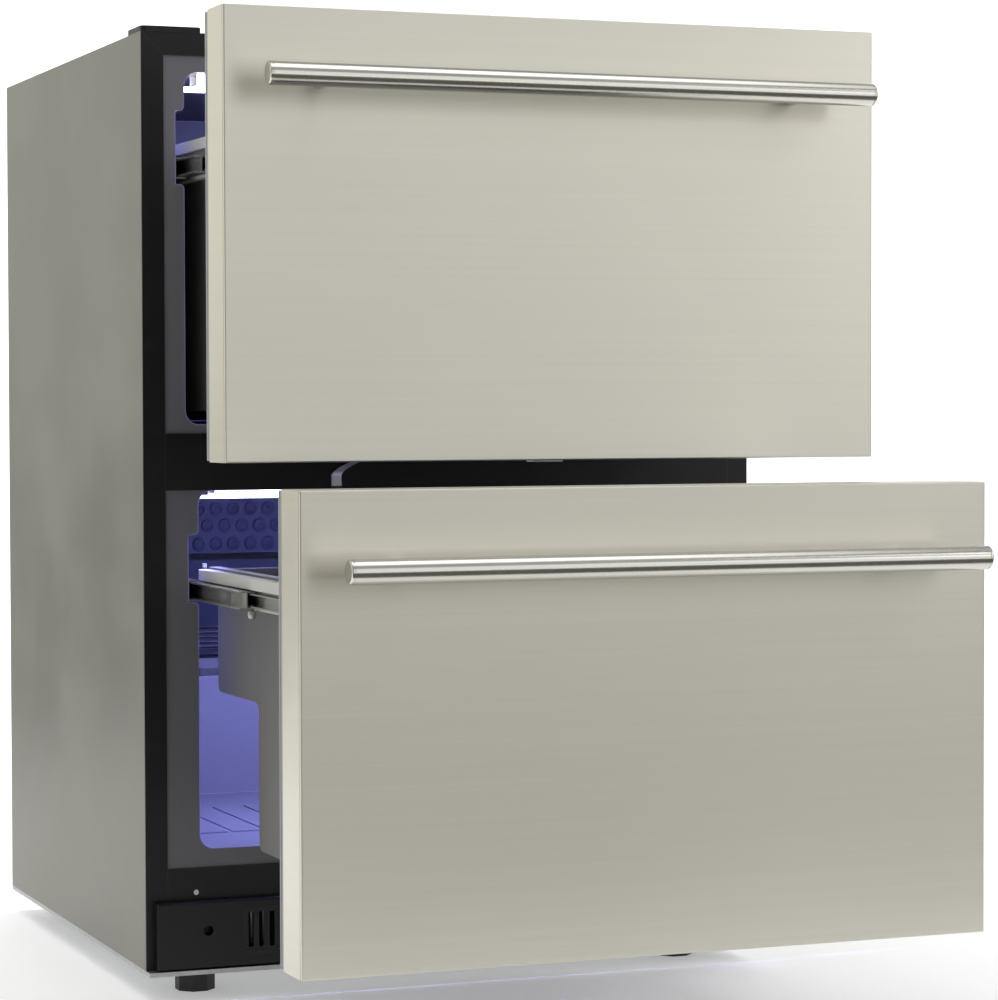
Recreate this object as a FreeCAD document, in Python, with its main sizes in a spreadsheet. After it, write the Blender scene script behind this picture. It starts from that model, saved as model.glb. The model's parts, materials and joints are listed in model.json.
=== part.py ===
import FreeCAD, Part
import os
import re

import Sketcher
from FreeCAD import Vector

# An under-counter refrigerator with two drawers, 600 mm wide, made in millimetres.
# X runs to the right, Y to the back and Z up. The cabinet is drawn with the face of its
# front frame at Y = 0 and the underside of its body at Z = 0, and both drawers are drawn
# shut. Placements then lift the cabinet onto its feet, centre the whole on Y and pull the
# drawers open by upper_open and lower_open, which is the pose at rest.

DIMENSIONS = {
    # cabinet
    "cabinet_width": 600,
    "cabinet_height": 845,
    "cabinet_depth": 547,
    "foot_height": 27,
    "sheet_metal": 1,
    "frame_face": 20.5,
    "frame_thickness": 2,
    "mullion_bottom": 433.5,
    "mullion_top": 485,
    "rail_top": 91,
    "base_lip": 4,
    "base_rim": 9,
    # liners
    "liner_wall": 2.5,
    "liner_depth": 484,
    "corner_radius": 13,
    "notch_radius": 4,
    "flange_half": 290,
    "upper_opening_half": 260,
    "upper_notch_half": 268,
    "upper_opening_bottom": 493,
    "upper_opening_top": 810,
    "upper_notch_bottom": 709,
    "upper_notch_top": 775,
    "lower_opening_half": 248.5,
    "lower_notch_half": 258,
    "lower_opening_bottom": 108,
    "lower_opening_top": 433,
    "lower_notch_bottom": 332,
    "lower_notch_top": 393,
    "flange_overlap": 4,
    "ledge_height": 230,
    "hump_front": 385,
    # floor pads
    "pad_width": 27,
    "pad_pitch": 32,
    "pad_count": 14,
    "pad_height": 1.5,
    "pad_front": 95,
    "pad_back": 275,
    # insulation and machine compartment
    "foam_bottom": 66,
    "machine_front": 430,
    "machine_top": 200,
    # drawers
    "closed_gap": 12,
    "upper_open": 198,
    "lower_open": 397,
    "panel_half": 299,
    "panel_height": 376.5,
    "panel_depth": 46,
    "lower_panel_bottom": 69,
    "upper_panel_bottom": 463,
    "bend_setback": 3,
    "seam_width": 0.8,
    "seam_depth": 0.6,
    "gasket_width": 11,
    "gasket_inset": 1,
    # handles
    "handle_diameter": 19.5,
    "handle_half": 275.5,
    "handle_reach": 46,
    "cap_length": 2.4,
    "cap_joint": 0.6,
    "cap_rounding": 1.4,
    "handle_drop": 60.5,
    "post_diameter": 14,
    "post_half_pitch": 217,
    # bins and rails
    "bin_wall": 2.5,
    "bin_back": 408,
    "upper_bin_half": 238,
    "upper_bin_bottom": 505,
    "upper_rail_bottom": 738,
    "upper_rail_top": 748,
    "upper_slide_level": 724,
    "lower_bin_half": 228,
    "lower_bin_bottom": 121,
    "lower_bin_step": 250,
    "lower_bin_step_front": 283,
    "lower_rail_bottom": 351.5,
    "lower_rail_top": 361.5,
    "lower_slide_level": 342.5,
    "slide_front": 7,
    "slide_length": 400,
    "slide_height": 19,
    "slide_gauge": 1.2,
    "middle_setback": 43,
    "rail_web": 10,
    "rail_width": 18.2,
    "rim_width": 8,
    "rim_thickness": 2,
    # kick plate
    "kick_half": 292,
    "kick_bottom": 1.5,
    "kick_top": 61.5,
    "kick_depth": 12,
    "vent_half": 205,
    "vent_pitch": 10,
    "vent_count": 42,
    "vent_width": 5,
    "vent_bottom": 18,
    "vent_top": 50,
    "kick_screw_half": 245,
    "kick_screw_level": 35.5,
    "kick_hole_diameter": 9.5,
    "screw_hole_diameter": 4.2,
    "screw_shank_diameter": 4,
    # top plates
    "plate_width": 56,
    "plate_length": 50,
    "plate_height": 5,
    "plate_overhang": 1,
    "plate_hole_diameter": 5.5,
    # feet
    "foot_half": 242,
    "foot_front": 45,
    "foot_back": 500,
    "foot_radius": 17,
    "stud_diameter": 10,
    "stud_top": 30,
    "boss_height": 12,
    "boss_wall": 4,
    "running_gap": 0.05,
    # lights
    "light_front": 17.5,
    "light_depth": 26.5,
    "light_end": 15,
    "lens_wall": 2.2,
    # light switch
    "switch_left": -122,
    "switch_right": -112.5,
    "switch_bottom": 436,
    "switch_top": 445,
    "switch_axis_y": 5,
    "switch_axis_z": 444,
    "switch_pin_diameter": 3,
    "switch_barrel_diameter": 5,
    "pocket_wall": 3,
    # machine compartment
    "slot_width": 8,
    "slot_pitch": 16,
    "slot_count": 29,
    "slot_bottom": 60,
    "slot_top": 150,
    "inlet_left": -268,
    "inlet_right": -240,
    "inlet_bottom": 15,
    "inlet_top": 39,
    "inlet_depth": 24,
    "inlet_wall": 3,
    "inlet_clearance": 0.2,
    "compressor_x": 150,
    "compressor_y": 487,
    "can_radius": 50,
    "can_bottom": 4,
    "can_top": 150,
    "dome_rounding": 28,
    "weld_radius": 53,
    "weld_bottom": 70,
    "weld_top": 76,
    "mount_half_length": 80,
    "mount_half_width": 48,
    "pipe_radius": 3,
    "pipe_level": 110,
    "pipe_drop": 30,
    "pipe_reach": 30,
    "pipe_run": 225,
    "pipe_bend": 14,
    "tray_left": -200,
    "tray_right": -60,
    "tray_front": 440,
    "tray_back": 535,
    "tray_top": 26,
    "tray_wall": 2,
    "tray_rounding": 3,
    # air covers
    "cover_half": 235,
    "cover_front": 412,
    "cover_step": 470,
    "cover_shelf": 356,
    "cover_bottom": 246,
    "cover_gauge": 2.5,
    "louvre_half": 200,
    "louvre_bottom": 252,
    "louvre_pitch": 5,
    "louvre_count": 5,
    "duct_front": 464,
    "duct_bottom": 520,
    "duct_top": 800,
    "duct_wall": 3,
    "duct_slot_width": 16,
    "duct_slot_pitch": 24,
    "duct_slot_count": 17,
    "duct_slot_level": 740,
    "duct_slot_height": 4,
    # screws in the bottom rail
    "rail_screw_half": 253,
    "rail_screw_level": 69,
    "rail_screw_head": 4.6,
}

CABINET = ("0", "frame_y", "foot_height")
UPPER = ("0", "frame_y - upper_open", "foot_height")
LOWER = ("0", "frame_y - lower_open", "foot_height")

document = FreeCAD.newDocument("undercounter_fridge")
sheet = document.addObject("Spreadsheet::Sheet", "Sheet")
front_reach = (
    DIMENSIONS["lower_open"] + DIMENSIONS["closed_gap"] + DIMENSIONS["panel_depth"]
    + DIMENSIONS["handle_reach"] + DIMENSIONS["handle_diameter"] / 2
)
# the frame's face lies this far from the middle of the whole depth
DIMENSIONS["frame_y"] = (front_reach - DIMENSIONS["cabinet_depth"]) / 2
for row, (alias, number) in enumerate(DIMENSIONS.items(), start=1):
    sheet.set(f"A{row}", alias)
    sheet.set(f"B{row}", str(number))
    sheet.setAlias(f"B{row}", alias)
document.recompute()

subparts = []


# ---------------------------------------------------------------- helpers


def full(formula):
    """The formula with the sheet's name put before each of its aliases."""
    return re.sub(
        r"[a-z][a-z_]*",
        lambda word: f"Sheet.{word[0]}" if word[0] in DIMENSIONS else word[0],
        str(formula),
    )


def value(formula):
    """The number that a formula gives."""
    return float(sheet.evalExpression(full(formula)))


def place(item, at):
    """Binds the item's position to three formulas."""
    for axis, formula in zip("xyz", at):
        item.setExpression(f"Placement.Base.{axis}", full(formula))


def register(item, label):
    """Names a finished sub-part, which is then written under that name."""
    item.Label = label
    subparts.append(item)
    return item


def new_body(label, at=CABINET):
    body = document.addObject("PartDesign::Body", label)
    place(body, at)
    return register(body, label)


def origin_feature(body, role):
    return next(f for f in body.Origin.OriginFeatures if f.Role == role)


def new_sketch(body, plane, level):
    """A sketch on one of the body's own planes, XY, XZ or YZ, moved along the third axis to a level."""
    sketch = body.newObject("Sketcher::SketchObject", "Sketch")
    sketch.AttachmentSupport = [(origin_feature(body, f"{plane}_Plane"), "")]
    sketch.MapMode = "FlatFace"
    sign = "-1" if plane == "XZ" else "1"
    sketch.setExpression("AttachmentOffset.Base.z", full(f"{sign} * ({level})"))
    return sketch


def draw_loop(sketch, points):
    """A closed outline of straight lines, each corner held by two formulas."""
    corners = [Vector(value(a), value(b), 0) for a, b in points]
    first = sketch.GeometryCount
    count = len(points)
    for number in range(count):
        sketch.addGeometry(Part.LineSegment(corners[number], corners[(number + 1) % count]))
    for number in range(count):
        sketch.addConstraint(
            Sketcher.Constraint("Coincident", first + number, 2, first + (number + 1) % count, 1)
        )
    for number, (point, corner) in enumerate(zip(points, corners)):
        for kind, formula, distance in zip(("DistanceX", "DistanceY"), point, corner):
            index = sketch.addConstraint(
                Sketcher.Constraint(kind, -1, 1, first + number, 1, distance)
            )
            sketch.setExpression(f"Constraints[{index}]", full(formula))


def draw_circle(sketch, centre, radius):
    """A circle whose centre and radius are held by formulas."""
    middle = Vector(value(centre[0]), value(centre[1]), 0)
    number = sketch.addGeometry(Part.Circle(middle, Vector(0, 0, 1), value(radius)))
    for kind, formula, distance in zip(("DistanceX", "DistanceY"), centre, middle):
        index = sketch.addConstraint(Sketcher.Constraint(kind, -1, 1, number, 3, distance))
        sketch.setExpression(f"Constraints[{index}]", full(formula))
    index = sketch.addConstraint(Sketcher.Constraint("Radius", number, value(radius)))
    sketch.setExpression(f"Constraints[{index}]", full(radius))


def extrude(body, kind, plane, start, end, loops=(), circles=()):
    """A pad or pocket of a sketch's loops and circles, from start to end along the third axis."""
    sketch = new_sketch(body, plane, start)
    for points in loops:
        draw_loop(sketch, points)
    for centre, radius in circles:
        draw_circle(sketch, centre, radius)
    before = body.Shape.Volume if body.Tip else 0.0
    feature = body.newObject(f"PartDesign::{kind}", kind)
    feature.Profile = sketch
    feature.setExpression("Length", full(f"({end}) - ({start})"))
    # the XZ plane faces the front, so there a pad is turned round and a pocket isn't
    feature.Reversed = (plane == "XZ") == (kind == "Pad")
    document.recompute()
    grew = body.Shape.Volume - before
    if (kind == "Pad") != (grew > 0):
        raise RuntimeError(f"{body.Label}: {kind} changed the volume by {grew}")
    return feature


def pad(body, plane, start, end, loops=(), circles=()):
    return extrude(body, "Pad", plane, start, end, loops, circles)


def pocket(body, plane, start, end, loops=(), circles=()):
    return extrude(body, "Pocket", plane, start, end, loops, circles)


def rectangle(a_low, a_high, b_low, b_high):
    return [(a_low, b_low), (a_high, b_low), (a_high, b_high), (a_low, b_high)]


def mirrored(points):
    """The same outline on the other side of X = 0."""
    return [(f"-({a})", b) for a, b in points]


def both_sides(points):
    return [points, mirrored(points)]


def fillet(body, axis, radius, where):
    """Rounds the straight edges parallel to an axis whose middle satisfies where."""
    names = []
    direction = {"x": Vector(1, 0, 0), "y": Vector(0, 1, 0), "z": Vector(0, 0, 1)}[axis]
    tip = body.Tip
    for number, edge in enumerate(tip.Shape.Edges, start=1):
        if not isinstance(edge.Curve, Part.Line):
            continue
        along = edge.Vertexes[-1].Point - edge.Vertexes[0].Point
        if along.Length < 1e-6 or abs(abs(along.normalize().dot(direction)) - 1) > 1e-6:
            continue
        if where(edge.CenterOfMass):
            names.append(f"Edge{number}")
    if not names:
        raise RuntimeError(f"{body.Label}: no edge to round")
    feature = body.newObject("PartDesign::Fillet", "Fillet")
    feature.Base = (tip, names)
    feature.setExpression("Radius", full(radius))
    document.recompute()
    return feature


def repeat(body, feature, axis, pitch, count):
    """Repeats a feature along one of the body's own axes."""
    pattern = body.newObject("PartDesign::LinearPattern", "LinearPattern")
    pattern.Originals = [feature]
    pattern.Direction = (origin_feature(body, f"{axis}_Axis"), [""])
    pattern.setExpression("Length", full(f"({pitch}) * (({count}) - 1)"))
    pattern.setExpression("Occurrences", full(count))
    body.Tip = pattern
    document.recompute()
    return pattern


def near(number, formula):
    return abs(number - value(formula)) < 0.5


# ---------------------------------------------------------------- outer cabinet


def side_panel(side, sign):
    """A steel side with a narrow return along its back edge."""
    body = new_body(f"side_panel_{side}")
    outer = f"{sign} * cabinet_width / 2"
    inner = f"{sign} * (cabinet_width / 2 - sheet_metal)"
    turn = f"{sign} * (cabinet_width / 2 - 15)"
    pad(body, "XY", "0", "cabinet_height", [[
        (outer, "frame_thickness"), (outer, "cabinet_depth"), (turn, "cabinet_depth"),
        (turn, "cabinet_depth - sheet_metal"), (inner, "cabinet_depth - sheet_metal"),
        (inner, "frame_thickness"),
    ]])


def top_panel():
    """The top sheet, turned down inside both side panels."""
    body = new_body("top_panel")
    outer = "cabinet_width / 2 - sheet_metal"
    inner = f"{outer} - sheet_metal"
    low = "cabinet_height - 16"
    under = "cabinet_height - sheet_metal"
    pad(body, "XZ", "frame_thickness", "cabinet_depth - sheet_metal", [[
        (f"-({outer})", low), (f"-({inner})", low), (f"-({inner})", under), (inner, under),
        (inner, low), (outer, low), (outer, "cabinet_height"), (f"-({outer})", "cabinet_height"),
    ]])


def back_panel():
    """The back sheet above the machine compartment, inside the side panels' returns."""
    body = new_body("back_panel")
    half = "cabinet_width / 2 - 3"
    pad(body, "XZ", "cabinet_depth - 2 * sheet_metal", "cabinet_depth - sheet_metal",
        [rectangle(f"-({half})", half, "machine_top", "cabinet_height - sheet_metal")])


def machine_cover():
    """The pressed cover of the machine compartment, with rows of slots."""
    body = new_body("machine_cover")
    half = "cabinet_width / 2 - 16"
    pad(body, "XZ", "cabinet_depth - sheet_metal", "cabinet_depth",
        [rectangle(f"-({half})", half, "2", "machine_top + 25")])
    first = "-(slot_count - 1) * slot_pitch / 2"
    slot = pocket(body, "XZ", "cabinet_depth - sheet_metal", "cabinet_depth", [
        rectangle(f"{first} - slot_width / 2", f"{first} + slot_width / 2", "slot_bottom", "slot_top"),
    ])
    repeat(body, slot, "X", "slot_pitch", "slot_count")
    # the opening that the power inlet fills
    pocket(body, "XZ", "cabinet_depth - sheet_metal", "cabinet_depth",
           [rectangle("inlet_left", "inlet_right", "inlet_bottom", "inlet_top")])


def base_pan():
    """The base plate, with a downturned rim and a hole for each foot's stud."""
    body = new_body("base_pan")
    half = "cabinet_width / 2"
    front = "-kick_depth"
    back = "cabinet_depth"
    pad(body, "XY", "-base_lip", "0", [rectangle(f"-{half}", half, front, back)])
    inner = f"{half} - base_rim"
    pocket(body, "XY", "-base_lip", "-1.5", [
        rectangle(f"-({inner})", inner, f"{front} + 2", f"{back} - base_rim"),
    ])
    studs = [
        ((f"{sign} * foot_half", place_y), "stud_diameter / 2 + running_gap")
        for sign in (-1, 1)
        for place_y in ("foot_front", "foot_back")
    ]
    # bosses that hold the studs
    bosses = [(centre, "stud_diameter / 2 + boss_wall") for centre, _ in studs]
    pad(body, "XY", "0", "boss_height", circles=bosses)
    pocket(body, "XY", "-base_lip", "boss_height", circles=studs)


def face_frame():
    """The black frame round the front, mitred at its top corners."""
    half = "cabinet_width / 2"
    inner = f"{half} - frame_face"
    top = "cabinet_height"
    under = "cabinet_height - frame_face"
    for side, sign in (("left", -1), ("right", 1)):
        body = new_body(f"frame_{side}")
        pad(body, "XZ", "0", "frame_thickness", [[
            (f"{sign} * {half}", "0"), (f"{sign} * ({inner})", "0"),
            (f"{sign} * ({inner})", under), (f"{sign} * {half}", top),
        ]])
    body = new_body("frame_top")
    pad(body, "XZ", "0", "frame_thickness", [[
        (f"-({half})", top), (f"-({inner})", under), (inner, under), (half, top),
    ]])


def mullion():
    """The bar between the drawers, with a slot and a closed pocket for the light switch."""
    body = new_body("mullion")
    inner = "cabinet_width / 2 - frame_face"
    pad(body, "XZ", "0", "frame_thickness",
        [rectangle(f"-({inner})", inner, "mullion_bottom", "mullion_top")])
    left, right = "switch_left - 1", "switch_right + 1"
    low, high = "switch_axis_z - 4.5", "switch_axis_z + 6.5"
    back = "switch_axis_y + 4"
    pad(body, "XZ", "frame_thickness - 1", back, [
        rectangle(f"{left} - pocket_wall", f"{right} + pocket_wall", f"{low} - 1", f"{high} + 1"),
    ])
    pocket(body, "XZ", "0", f"{back} - 1", [rectangle(left, right, low, high)])
    pocket(body, "XZ", "0", "frame_thickness", [rectangle(left, right, "switch_bottom - 1.5", high)])
    axis = ("switch_axis_y", "switch_axis_z")
    pocket(body, "YZ", f"{left} - pocket_wall", f"{right} + pocket_wall",
           circles=[(axis, "switch_pin_diameter / 2 + running_gap")])


def screw_centres(name):
    """The left and right screw of the bottom rail or the kick plate."""
    return [(f"{sign} * {name}_screw_half", f"{name}_screw_level") for sign in (-1, 1)]


def bottom_rail():
    """The frame's bottom rail, with holes for its own and the kick plate's screws."""
    body = new_body("bottom_rail")
    inner = "cabinet_width / 2 - frame_face"
    pad(body, "XZ", "0", "frame_thickness", [rectangle(f"-({inner})", inner, "0", "rail_top")])
    rail_screws = screw_centres("rail")
    holes = [(centre, "screw_hole_diameter / 2") for centre in rail_screws + screw_centres("kick")]
    pocket(body, "XZ", "0", "frame_thickness", circles=holes)
    pocket(body, "XZ", "0", "0.9",
           circles=[(centre, "rail_screw_head / 2 + 0.1") for centre in rail_screws])
    # the air inlet behind the kick plate's slots
    pocket(body, "XZ", "0", "frame_thickness",
           [rectangle("-vent_half - 2", "vent_half + 6", "vent_bottom - 2", "vent_top + 2")])


def kick_plate():
    """A shallow pressed channel with a raised panel of upright slots."""
    body = new_body("kick_plate")
    front = "-kick_depth"
    pad(body, "XZ", front, "0", [rectangle("-kick_half", "kick_half", "kick_bottom", "kick_top")])
    fillet(body, "x", "1.5", lambda p: near(p.y, front))
    pocket(body, "XZ", f"{front} + 1.5", "0", [
        rectangle("-kick_half + 1.5", "kick_half - 1.5", "kick_bottom + 1.5", "kick_top - 1.5"),
    ])
    pad(body, "XZ", f"{front} - 0.6", f"{front} + 0.5", [
        rectangle("-vent_half - 9", "vent_half + 9", "vent_bottom - 6", "vent_top + 5"),
    ])
    pocket(body, "XZ", f"{front} - 0.6", front, [
        rectangle("-vent_half - 6", "vent_half + 6", "vent_bottom - 3", "vent_top + 2.5"),
    ])
    slot = pocket(body, "XZ", f"{front} - 1", f"{front} + 2", [
        rectangle("-vent_half - 2.5", "-vent_half + 2.5", "vent_bottom", "vent_top"),
    ])
    repeat(body, slot, "X", "vent_pitch", "vent_count")
    holes = [(centre, "kick_hole_diameter / 2") for centre in screw_centres("kick")]
    pocket(body, "XZ", f"{front} - 1", f"{front} + 2", circles=holes)


def kick_plate_screws():
    """Two slotted screws that stand in the rail, deep behind the kick plate's holes."""
    body = new_body("kick_plate_screws")
    front = "-2.5"
    centres = screw_centres("kick")
    pad(body, "XZ", front, "0", circles=[(centre, "3.6") for centre in centres])
    pad(body, "XZ", "0", "frame_thickness",
        circles=[(centre, "screw_shank_diameter / 2") for centre in centres])
    slots = [rectangle(f"{x} - 2.4", f"{x} + 2.4", f"{z} - 0.4", f"{z} + 0.4") for x, z in centres]
    pocket(body, "XZ", front, f"{front} + 1", slots)


def cabinet_screws():
    """The flush screws in the bottom rail and the pan-head screws under the base's rim."""
    body = new_body("cabinet_screws")
    rail = screw_centres("rail")
    rim = "cabinet_width / 2 - base_rim / 2"
    under = [(f"{sign} * ({rim})", y) for sign in (-1, 1) for y in ("71", "326", "515")]
    pad(body, "XZ", "-0.1", "0.9", circles=[(centre, "rail_screw_head / 2") for centre in rail])
    pad(body, "XZ", "0.9", "frame_thickness", circles=[(centre, "1.8") for centre in rail])
    pad(body, "XY", "-base_lip - 2", "-base_lip", circles=[(centre, "2.6") for centre in under])


def top_brackets():
    """Two rounded plates on the top's front corners, each with a screw hole."""
    body = new_body("top_brackets")
    outer = "cabinet_width / 2"
    inner = "cabinet_width / 2 - plate_width"
    low = "cabinet_height"
    high = "cabinet_height + plate_height"
    front, back = "-plate_overhang", "plate_length - plate_overhang"
    pad(body, "XY", low, high, both_sides(rectangle(inner, outer, front, back)))
    fillet(body, "z", "5", lambda p: True)
    centres = [
        (f"{sign} * (cabinet_width / 2 - plate_width / 2)", f"({front} + {back}) / 2")
        for sign in (-1, 1)
    ]
    pocket(body, "XY", low, high, circles=[(centre, "plate_hole_diameter / 2") for centre in centres])


def levelling_foot(name, side, row):
    """An eight-sided foot on a threaded stud."""
    body = new_body(f"levelling_foot_{name}")
    centre_x = f"({side} * foot_half)"
    centre_y = f"foot_{row}"
    across = "foot_radius"
    corner = "foot_radius * 0.4142"
    pad(body, "XY", "-foot_height", "-base_lip", [[
        (f"{centre_x} + {across} * {a} + {corner} * {b}",
         f"{centre_y} + {across} * {c} + {corner} * {d}")
        for a, b, c, d in (
            (1, 0, 0, -1), (1, 0, 0, 1), (0, 1, 1, 0), (0, -1, 1, 0),
            (-1, 0, 0, 1), (-1, 0, 0, -1), (0, -1, -1, 0), (0, 1, -1, 0),
        )
    ]])
    pad(body, "XY", "-base_lip", "stud_top", circles=[((centre_x, centre_y), "stud_diameter / 2")])


# ---------------------------------------------------------------- liners and insulation


def liner_outline(name, grow, low, high):
    """The opening's outline grown outwards, with the channels that hold the slides."""
    half = f"({name}_opening_half + {grow})"
    notch = f"({name}_notch_half + {grow})"
    notch_low = f"{name}_notch_bottom - {grow}"
    notch_high = f"{name}_notch_top + {grow}"
    right = [
        (half, low), (half, notch_low), (notch, notch_low),
        (notch, notch_high), (half, notch_high), (half, high),
    ]
    return right + mirrored(right)[::-1]


def round_liner_corners(body, name, levels):
    """Rounds the opening's inside corners, then the lips of its slide channels."""
    half = f"{name}_opening_half"
    lips = (f"{name}_notch_bottom", f"{name}_notch_top")
    for radius, rows in (("corner_radius", levels), ("notch_radius", lips)):
        fillet(body, "y", radius,
               lambda p: near(abs(p.x), half) and any(near(p.z, row) for row in rows))


def upper_liner():
    """The upper compartment, formed with a flange that lies behind the frame."""
    body = new_body("upper_liner")
    low, high = "upper_opening_bottom", "upper_opening_top"
    front = "frame_thickness"
    pad(body, "XZ", front, f"{front} + liner_wall",
        [rectangle("-flange_half", "flange_half",
                   "mullion_top - flange_overlap", "cabinet_height - 7")])
    pad(body, "XZ", front, "liner_depth + liner_wall",
        [liner_outline("upper", "liner_wall", f"{low} - liner_wall", f"{high} + liner_wall")])
    pocket(body, "XZ", front, "liner_depth", [liner_outline("upper", "0", low, high)])
    round_liner_corners(body, "upper", (low, high))


def lower_liner():
    """The lower compartment, whose back steps over the machine compartment."""
    body = new_body("lower_liner")
    low, high = "lower_opening_bottom", "lower_opening_top"
    front = "frame_thickness"
    pad(body, "XZ", front, f"{front} + liner_wall",
        [rectangle("-flange_half", "flange_half",
                   "rail_top - flange_overlap", "mullion_bottom + flange_overlap")])
    pad(body, "XZ", front, "liner_depth + liner_wall",
        [liner_outline("lower", "liner_wall", f"{low} - liner_wall", f"{high} + liner_wall")])
    pocket(body, "XZ", "hump_front + liner_wall", "liner_depth + liner_wall + 1",
           [rectangle("-flange_half", "flange_half", "50", "ledge_height - liner_wall")])
    pocket(body, "XZ", front, "liner_depth", [liner_outline("lower", "0", "ledge_height", high)])
    half = "lower_opening_half"
    pocket(body, "XZ", front, "hump_front", [rectangle(f"-{half}", half, low, "ledge_height + 1")])
    round_liner_corners(body, "lower", (low, high))
    first = "-pad_pitch * (pad_count - 1) / 2"
    left, right = f"{first} - pad_width / 2", f"{first} + pad_width / 2"
    rib = pad(body, "XY", low, f"{low} + pad_height",
              [rectangle(left, right, "pad_front", "pad_back")])
    repeat(body, rib, "X", "pad_pitch", "pad_count")


def insulation_foam():
    """The foam between the liners and the outer panels."""
    body = new_body("insulation_foam")
    half = "cabinet_width / 2 - 2.5"
    front = "frame_thickness + liner_wall + 0.2"
    back = "cabinet_depth - 2 * sheet_metal - 0.2"
    pad(body, "XZ", front, back,
        [rectangle(f"-({half})", half, "foam_bottom", "cabinet_height - 1.5")])
    grow = "liner_wall + 0.3"
    for name in ("upper", "lower"):
        side = f"{name}_notch_half + {grow}"
        low = f"{name}_opening_bottom - ({grow})"
        high = f"{name}_opening_top + {grow}"
        if name == "lower":
            pocket(body, "XZ", front, f"hump_front + {grow}",
                   [rectangle(f"-({side})", side, low, "ledge_height")])
            low = f"ledge_height - ({grow})"
        pocket(body, "XZ", front, f"liner_depth + {grow}",
               [rectangle(f"-({side})", side, low, high)])
    pocket(body, "XZ", "machine_front", "cabinet_depth",
           [rectangle(f"-({half}) - 1", f"{half} + 1", "foam_bottom - 1", "machine_top")])
    # room for the light switch's pocket
    pocket(body, "XZ", front, "switch_axis_y + 5", [
        rectangle("switch_left - pocket_wall - 2", "switch_right + pocket_wall + 2",
                  "switch_axis_z - 7", "switch_axis_z + 9"),
    ])


def evaporator_cover():
    """The cover of the cold plate at the back of the lower compartment, louvred below."""
    body = new_body("evaporator_cover")
    front, step, back = "cover_front", "cover_step", "liner_depth"
    top, shelf, low = "lower_opening_top - 1", "cover_shelf", "cover_bottom"
    pad(body, "YZ", "-cover_half", "cover_half", [[
        (front, top), (front, shelf), (step, shelf), (step, low), (back, low),
        (back, f"{low} + cover_gauge"), (f"{step} + cover_gauge", f"{low} + cover_gauge"),
        (f"{step} + cover_gauge", f"{shelf} + cover_gauge"),
        (f"{front} + cover_gauge", f"{shelf} + cover_gauge"), (f"{front} + cover_gauge", top),
    ]])
    louvre = pocket(body, "XZ", step, f"{step} + cover_gauge", [
        rectangle("-louvre_half", "louvre_half", "louvre_bottom", "louvre_bottom + louvre_pitch / 2"),
    ])
    repeat(body, louvre, "Z", "louvre_pitch", "louvre_count")


def upper_duct_cover():
    """The air duct at the back of the upper compartment."""
    body = new_body("upper_duct_cover")
    inner = "duct_front + cover_gauge"
    pad(body, "XZ", "duct_front", "liner_depth",
        [rectangle("-cover_half", "cover_half", "duct_bottom", "duct_top")])
    pocket(body, "XZ", inner, "liner_depth", [
        rectangle("-(cover_half - duct_wall)", "cover_half - duct_wall",
                  "duct_bottom + duct_wall", "duct_top - duct_wall"),
    ])
    first = "-(duct_slot_count - 1) * duct_slot_pitch / 2"
    slot = pocket(body, "XZ", "duct_front", inner, [
        rectangle(f"{first} - duct_slot_width / 2", f"{first} + duct_slot_width / 2",
                  "duct_slot_level", "duct_slot_level + duct_slot_height"),
    ])
    repeat(body, slot, "X", "duct_slot_pitch", "duct_slot_count")


def light(name, low, high, half):
    """A light bar under a compartment's ceiling: its housing, and the clear lens round it."""
    front, back = "light_front", "light_front + light_depth"
    wall = "lens_wall + 0.3"
    body = new_body(f"{name}_light_housing")
    pad(body, "YZ", f"-({half} - light_end)", f"{half} - light_end", [[
        (f"{front} + {wall}", high), (f"{front} + {wall}", f"{low} + {wall}"),
        (back, f"{low} + {wall}"), (back, high),
        (f"{back} - 2", high), (f"{back} - 2", f"{low} + {wall} + 2"),
        (f"{front} + {wall} + 2", f"{low} + {wall} + 2"), (f"{front} + {wall} + 2", high),
    ]])
    lens = new_body(f"{name}_light_lens")
    pad(lens, "YZ", f"-({half})", half, [rectangle(front, back, low, f"{low} + lens_wall")])
    pad(lens, "YZ", f"-({half} - light_end)", f"{half} - light_end",
        [rectangle(front, f"{front} + lens_wall", f"{low} + lens_wall", high)])


def light_switch_lever():
    """A curved lever that swings on a pin in the mullion and works the lights."""
    body = new_body("light_switch_lever")
    left, right, top = "switch_left", "switch_right", "switch_top"
    near_face, far_face = "0.4", "1.9"
    pad(body, "XY", "switch_bottom", top, [rectangle(left, right, near_face, far_face)])
    pad(body, "XY", "switch_axis_z - 2", top, [rectangle(left, right, far_face, "switch_axis_y")])
    axis = ("switch_axis_y", "switch_axis_z")
    pad(body, "YZ", left, right, circles=[(axis, "switch_barrel_diameter / 2")])
    pad(body, "YZ", f"{left} - pocket_wall", f"{right} + pocket_wall",
        circles=[(axis, "switch_pin_diameter / 2")])
    # sections of the finger, by how far each rises, leans right and comes forward
    sections = []
    for rise, lean, forward in (
        (0, 0, 0), (2.5, 0.2, 1.7), (6, 3, 4.2), (9, 7.5, 5.9), (12, 14, 7), (15, 20, 7.6),
    ):
        sketch = new_sketch(body, "XY", f"{top} + {rise}")
        draw_loop(sketch, rectangle(
            f"{left} + {lean}", f"{right} + {lean} * 0.95",
            f"{near_face} - {forward}", f"{far_face} - {forward}",
        ))
        sections.append(sketch)
    loft = body.newObject("PartDesign::AdditiveLoft", "AdditiveLoft")
    loft.Profile = sections[0]
    loft.Sections = sections[1:]
    document.recompute()


# ---------------------------------------------------------------- cooling


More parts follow.
